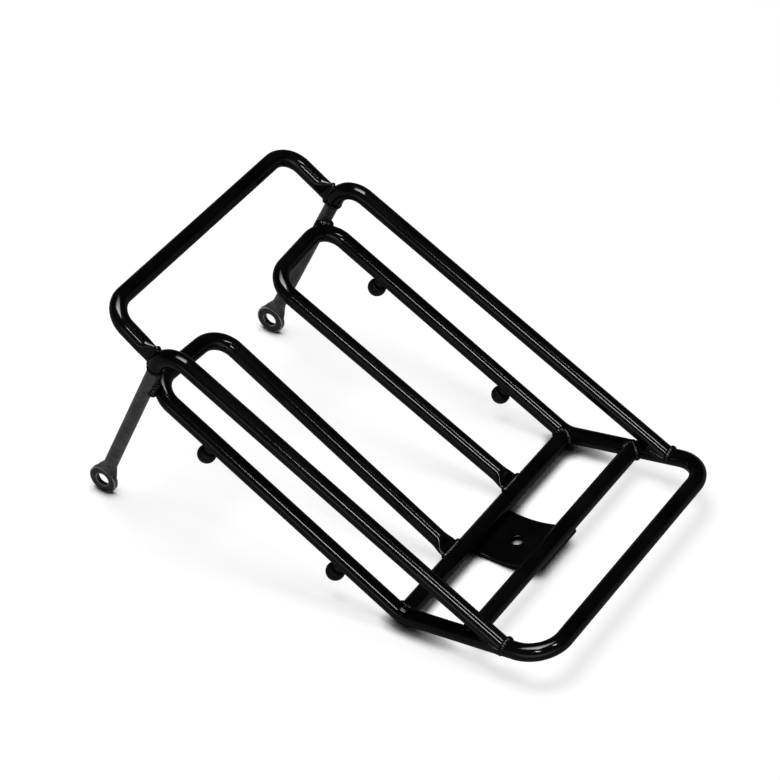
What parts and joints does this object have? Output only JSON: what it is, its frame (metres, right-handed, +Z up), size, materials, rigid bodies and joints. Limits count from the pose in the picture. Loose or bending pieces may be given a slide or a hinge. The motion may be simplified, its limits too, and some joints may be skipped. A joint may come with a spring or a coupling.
{
  "type": "motorcycle luggage rack",
  "caption": "Bent-tube luggage rack for a small motorcycle, with eyelet legs, side rails, a front loop, a bent mounting plate and rubber stops",
  "frame": {"origin": "On the floor under the middle of the rack's bounding box, with the rack standing on its two feet and its mounting plate", "axes": "+X to the rider's left and square to the plane of symmetry, +Y to the rear along the rack's length, +Z up"},
  "size_m": [0.2292, 0.3712, 0.1739],
  "materials": {
    "gloss_black": "gloss",
    "rubber": "matte"
  },
  "bodies": {
    "root": {"deck_tube": "gloss_black", "cross_front": "gloss_black", "cross_rear": "gloss_black", "side_rail_l": "gloss_black", "side_rail_r": "gloss_black", "leg_l": "gloss_black", "leg_r": "gloss_black", "front_loop": "gloss_black", "mounting_plate": "gloss_black", "stop_pin_fl": "gloss_black", "stop_pin_fr": "gloss_black", "stop_pin_rl": "gloss_black", "stop_pin_rr": "gloss_black", "stop_fl": "rubber", "stop_fr": "rubber", "stop_rl": "rubber", "stop_rr": "rubber"}
  },
  "joints": []
}
